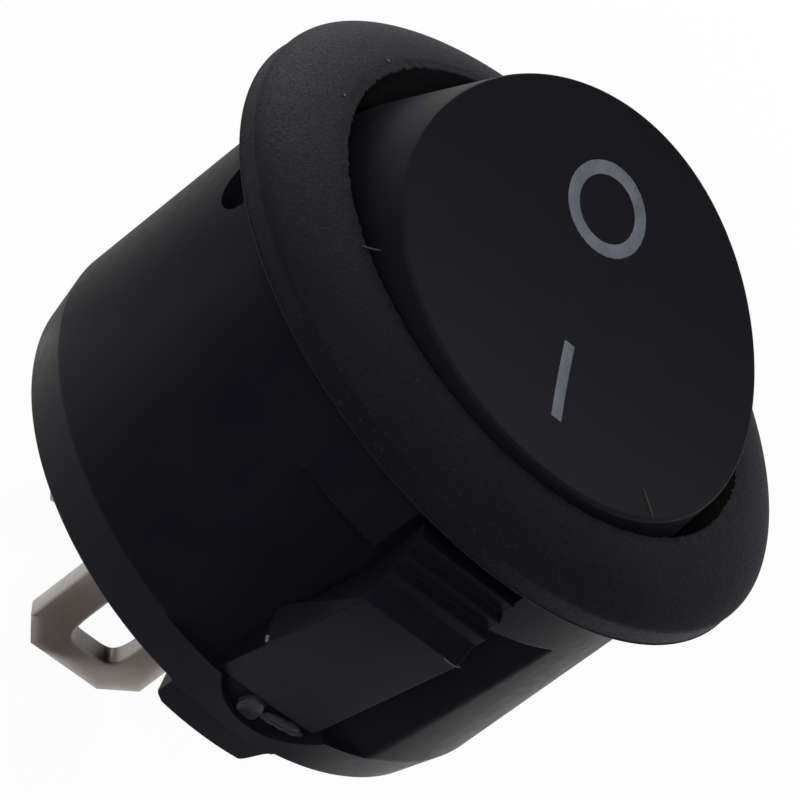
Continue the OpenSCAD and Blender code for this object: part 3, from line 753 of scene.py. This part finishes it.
# %% Outline and eye of the lugs
lug_half, lug_tip, lug_top, eye_mid = 2.475, -20.95, -10.6, -17.75
eye_half_y, eye_half_z, eye_power = 1.075, 2.0, 5
left_bevel, right_bevel = np.array([0.86, 1.0]), np.array([1.1, 0.95])
corners = np.array([[-lug_half, lug_top], [-lug_half, lug_tip + left_bevel[1]],
                    [-lug_half + left_bevel[0], lug_tip], [lug_half - right_bevel[0], lug_tip],
                    [lug_half, lug_tip + right_bevel[1]], [lug_half, lug_top]])
corners = corners - np.array([0, eye_mid])
corner_turn = np.arctan2(corners[:, 1], corners[:, 0])
lug_turn = np.sort(np.concatenate([around(240) - np.pi, corner_turn]))
aim = np.stack([np.cos(lug_turn), np.sin(lug_turn)])
run = np.roll(corners, -1, axis=0) - corners
face_normal = np.stack([run[:, 1], -run[:, 0]], axis=1)
toward = face_normal @ aim
face_reach = np.sum(face_normal*corners, axis=1)[:, None]
outer_r = np.where(toward > TINY, face_reach/np.maximum(toward, TINY), np.inf).min(axis=0)
eye_r = (np.abs(aim[0]/eye_half_y)**eye_power + np.abs(aim[1]/eye_half_z)**eye_power)**(-1/eye_power)
print("lug lines", len(lug_turn), "from", round(eye_r.min(), 3), "to", round(outer_r.max(), 3))

# %% Stamped edges
lug_t, burr = 0.4, 0.05
bend = quarter(9)


def stamped(width, depth):
    """Half section of a stamped edge: the punch draws the front in on an ellipse and leaves a small round
    behind."""
    front = np.stack([width*(1 - np.sin(bend)), lug_t - depth*(1 - np.cos(bend))], axis=1)
    back = np.stack([burr*(1 - np.cos(bend)), -lug_t + burr*(1 - np.sin(bend))], axis=1)
    return np.concatenate([front, back])


rim_edge, eye_edge = stamped(width=0.55, depth=0.14), stamped(width=0.16, depth=0.06)[::-1]
lug_r = np.concatenate([outer_r[None] - rim_edge[:, :1], eye_r[None] + eye_edge[:, :1]])
lug_x = np.concatenate([rim_edge[:, 1:], eye_edge[:, 1:]])
lug_grid = np.stack(np.broadcast_arrays(lug_x, lug_r*aim[0], eye_mid + lug_r*aim[1]), axis=-1)
print("lug grid", lug_grid.shape)

# %% Wear and lugs
# The side at -Y is bare: its wall is pale and the edge beside it stays brown. Elsewhere the drawn edge is
# pale and the wall cut. In the eye the wall is pale, apart from a dark cut stretch at the angle dark_at.
bare_side = np.isclose(outer_r*aim[0], -lug_half)
dark_at, dark_half, eye_pale, eye_dark, edge_power, corner_power = -1.22, 0.24, 0.85, 0.1, 1.8, 8
edge_paler = np.where(bare_side, 0.0, 0.6)
corner_darker = np.where(bare_side, -0.25, 0.75)
wall = np.where(bare_side, PALE, 0.12)
drawn = TARNISHED + np.outer(np.sin(bend)**edge_power, edge_paler)
drawn = drawn - np.outer((bend/bend[-1])**corner_power, corner_darker)
wall_to_back = np.linspace(wall, TARNISHED, len(bend))
punched = eye_pale - (eye_pale - eye_dark)*np.exp(-((lug_turn - dark_at)/dark_half)**2)
to_wall = np.linspace(0, 1, len(bend))
eye_wear = TARNISHED + np.outer(np.concatenate([to_wall, to_wall[::-1]]), punched - TARNISHED)
lug_wear = np.concatenate([drawn, wall_to_back, eye_wear]).ravel()
lugs = (("common_lug", "common_terminal", 0.0), ("fixed_lug", "fixed_terminal", -7.2))
for lug_name, node, lug_place in lugs:
    lug_mesh = skin(lug_name, lug_grid + np.array([lug_place, 0, 0]), ring=True, crisp=50)
    lug_mesh.attributes.new("wear", "FLOAT", "POINT").data.foreach_set("value", lug_wear)
    piece(lug_mesh, plating, "housing", "lug_plate", node)

# %% Lug ends inside the housing
prongs = np.array([[-3.075, -10.47], [3.075, -10.47], [3.075, -7.15], [1.6, -7.15],
                   [1.6, -7.95], [-1.6, -7.95], [-1.6, -7.15], [-3.075, -7.15]])
prong_grid = plate(soft_corners(prongs, cut=0.05), lug_t, edge=0.03)
piece(skin("common_prongs", prong_grid, flat_ends=True), plating, "housing", "lug_plate", "common_terminal")
tab = np.array([[-7.6, -10.9], [-6.8, -10.9], [-6.8, -10.47], [-3.5, -10.47], [-3.5, -9.67], [-7.6, -9.67]])
tab_grid = plate(soft_corners(tab, cut=0.05), half=2.0, edge=0.03)[..., [1, 0, 2]]
piece(skin("fixed_tab", tab_grid, flat_ends=True), plating, "housing", "lug_plate", "fixed_terminal")

# %% [markdown]
# ## Works inside
# The spring, the plunger, the lever and the contacts are closed in by the housing and the rocker. New
# surfaces would hardly be seen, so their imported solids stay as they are. Each still gets its own metal,
# whose colour and gloss change a little from place to place.

# %% Metal finishes for the works
def plain_metal(name, tone, shade, rough):
    """Bare metal: its colour clouds from tone to shade, and a fine grain adds to its roughness."""
    cloud_waves, grain_waves, more_rough = 900.0, 12000.0, 0.12
    material, tree, shader = new_finish(name)
    place = place_of(tree)
    cloud = spread(tree, noise(tree, place, cloud_waves, 3.0))
    grain = noise(tree, place, grain_waves, 2.0)
    join(tree, blend_colours(tree, cloud, tone, shade), shader.inputs["Base Color"])
    join(tree, spread(tree, grain, out_low=rough, out_high=rough + more_rough), shader.inputs["Roughness"])
    shader.inputs["Metallic"].default_value = 1.0
    return material


works = {
    "rocker_spring": plain_metal("spring_wire", (0.55, 0.56, 0.58), (0.66, 0.67, 0.69), 0.22),
    "plunger": plain_metal("plunger_metal", (0.50, 0.51, 0.53), (0.6, 0.61, 0.63), 0.18),
    "contact_lever": plain_metal("lever_alloy", (0.24, 0.15, 0.095), (0.34, 0.215, 0.14), 0.3),
    "moving_contact": plain_metal("contact_alloy", (0.72, 0.72, 0.70), (0.83, 0.83, 0.81), 0.25),
}
works["fixed_contact"] = works["moving_contact"]
for node, metal in works.items():
    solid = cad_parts[node]
    solid.data.materials.clear()
    solid.data.materials.append(metal)
print("metals on", sorted(works))

# %% [markdown]
# ## Dust
# Two short fibres lie on the switch, one near the lower end of the rocker's face and one across the lip,
# and two pale grains lie on the flange. A particle system could scatter dust, but these few have their own
# places, so each is a strand like the torn plastic, only much thinner.

# %% Dust fibres and grains
def dust_lint():
    """Pale brown lint that clouds a little along its length."""
    cloud_waves = 4000.0
    material, tree, shader = new_finish("dust_lint")
    cloud = noise(tree, place_of(tree), cloud_waves, 2.0)
    tone = blend_colours(tree, cloud, (0.035, 0.033, 0.027), (0.075, 0.07, 0.057))
    join(tree, tone, shader.inputs["Base Color"])
    join(tree, spread(tree, cloud, out_low=0.6, out_high=0.8), shader.inputs["Roughness"])
    return material


lint = dust_lint()
on_face = np.array([[5.11, 3.73, 0.03], [5.53, 3.98, 0.05], [5.97, 4.25, 0.03]])
on_face[:, 2] += dished(on_face[:, 0])
strand("dust_on_face", at_rest(on_face), 0.014, lint, "rocker", "rocker_plastic")
on_flange = (
    ("dust_on_lip", [[4.36, -7.93, 2.0], [4.2, -7.55, 2.04], [4.0, -7.2, 2.06]], 0.03, lint),
    ("grain_high", [[-5.5, -7.4, 1.98], [-5.48, -7.36, 2.0], [-5.46, -7.32, 1.98]], 0.04, whitened_and_glint),
    ("grain_low", [[-2.15, -9.07, 1.95], [-2.13, -9.03, 1.97], [-2.11, -8.99, 1.95]], 0.035, whitened_and_glint),
)
for dust_name, dust_line, dust_thick, dust_finish in on_flange:
    strand(dust_name, dust_line, dust_thick, dust_finish, "housing", "housing_plastic")

# %% [markdown]
# ## Floor
# The switch stands on a pale floor. Enough light for a pure white floor would make the switch too bright as
# well. So the floor shows white to the camera and in mirror images by itself, through the Light Path node,
# and keeps a little of its plain shading for the shadow.

# %% Floor
def sheet(name, corners):
    """A flat four-sided stage piece through its corners, in millimetres."""
    mesh = bpy.data.meshes.new(name)
    mesh.from_pydata((np.array(corners, float)*MM).tolist(), [], [[0, 1, 2, 3]])
    thing = bpy.data.objects.new(name, mesh)
    scene.collection.objects.link(thing)
    return thing


def level_sheet(x_from, x_to, y_from, y_to, height):
    """Corners of a level rectangle at a height."""
    return [[x_from, y_from, height], [x_to, y_from, height], [x_to, y_to, height], [x_from, y_to, height]]


def larger(tree, first, second):
    """The larger of two values."""
    node = add(tree, "ShaderNodeMath")
    node.operation = "MAXIMUM"
    join(tree, first, node.inputs[0])
    join(tree, second, node.inputs[1])
    return node.outputs["Value"]


def floor_finish():
    """Pale floor: mostly plain white to camera and glass rays, partly to mirror rays, and plain diffuse to
    all others."""
    seen_white, mirrored_white, grain_waves = 0.95, 0.19, 40.0
    material, tree, shader = new_finish("pale_floor")
    tree.nodes.remove(shader)
    plain = add(tree, "ShaderNodeBsdfDiffuse")
    grain = noise(tree, place_of(tree), grain_waves, 2.0)
    join(tree, blend_colours(tree, grain, (0.80, 0.80, 0.80), (0.83, 0.83, 0.83)), plain.inputs["Color"])
    white = add(tree, "ShaderNodeEmission", Strength=1.0)
    rays = add(tree, "ShaderNodeLightPath").outputs
    seen = larger(tree, rays["Is Camera Ray"], rays["Is Transmission Ray"])
    share = larger(tree, spread(tree, seen, 0.0, 1.0, 0.0, seen_white),
                   spread(tree, rays["Is Glossy Ray"], 0.0, 1.0, 0.0, mirrored_white))
    mix = add(tree, "ShaderNodeMixShader")
    join(tree, share, mix.inputs["Fac"])
    join(tree, plain.outputs["BSDF"], mix.inputs[1])
    join(tree, white.outputs["Emission"], mix.inputs[2])
    join(tree, mix.outputs["Shader"], tree.nodes["Material Output"].inputs["Surface"])
    return material


floor_z, floor_half = -21.1, 900
floor = sheet("floor", level_sheet(-floor_half, floor_half, -floor_half, floor_half, floor_z))
floor.data.materials.append(floor_finish())
print("floor at", floor_z)

# %% [markdown]
# ## Cards
# Black plastic shows what it mirrors, more than its own colour. Photographers place grey and black cards
# around it to give it a dark front and soft outlines, and that is done here too. More lamps could not
# darken anything. The cards show only in the gloss: the camera, the shadows and the plain shading don't see
# them.

# %% Cards
toward_camera, along_card = np.array([0.867, -0.498]), np.array([0.498, 0.867])


def card_sheet(back, front, left, right, back_z, front_z):
    """Corners of a card that runs from back to front towards the camera, and from left to right; its height
    goes from back_z to front_z."""
    steps = ((back, left, back_z), (back, right, back_z), (front, right, front_z), (front, left, front_z))
    return [[*(toward_camera*ahead + along_card*across), height] for ahead, across, height in steps]


cards = (("rising_card", card_sheet(18, 140, -160, 260, floor_z + 0.4, 110), 0.04),
         ("lug_card", card_sheet(0.8, 7.5, -2, 16, floor_z + 0.1, floor_z + 0.1), 0.32),
         ("teeth_card", card_sheet(13.5, 18, 17, 50, floor_z + 0.2, floor_z + 0.2), 0.04),
         ("back_card", level_sheet(-160, -14, -130, 130, floor_z + 0.1), 0.47),
         ("ceiling_card", level_sheet(-5, 125, 5, 130, 130), 0.04))
for card_name, card_corners, grey in cards:
    card = sheet(card_name, card_corners)
    card_material, _, card_shader = new_finish(card_name)
    card_shader.inputs["Base Color"].default_value = (grey, grey, grey, 1)
    card_shader.inputs["Roughness"].default_value = 0.9
    card.data.materials.append(card_material)
    card.visible_camera = False
    card.visible_diffuse = False
    card.visible_shadow = False
    print(card_name, "of grey", grey)

# %% [markdown]
# ## Room and lamps
# The room is even and pale, as in a light tent. One soft lamp behind the switch gives its upper side a
# sheen. Four weak fills lift the plain shading; a sun lamp could do that as well, but its shadow would be
# hard. They are left out of the gloss, where they would show as square spots.

# %% Room and lamps
room_level = 0.295
world = bpy.data.worlds.new("pale_room")
scene.world = world
world.use_nodes = True
background = world.node_tree.nodes["Background"]
background.inputs["Color"].default_value = (1.0, 1.0, 1.0, 1)
background.inputs["Strength"].default_value = room_level


def lamp(name, place, aim, size, power):
    """A square soft lamp at a place, facing an aim, both in millimetres."""
    data = bpy.data.lights.new(name, "AREA")
    data.size = size*MM
    data.energy = power
    thing = bpy.data.objects.new(name, data)
    thing.matrix_world = facing(place, aim)
    scene.collection.objects.link(thing)
    print("lamp", name, "of", power, "watts")
    return thing


lamp("back_soft", (-220, -60, 90), (0, 0, 0), 160, 0.12)
fills = (("front_fill", camera_place, 60, 0.175), ("near_fill", (60, -200, 30), 80, 0.09),
         ("far_fill", (40, 200, 40), 80, 0.03), ("rear_fill", (-122, 70, 75), 60, 0.08))
for fill_name, fill_place, fill_size, power in fills:
    fill = lamp(fill_name, fill_place, camera_aim, fill_size, power)
    fill.visible_glossy = False
print("room strength", room_level)
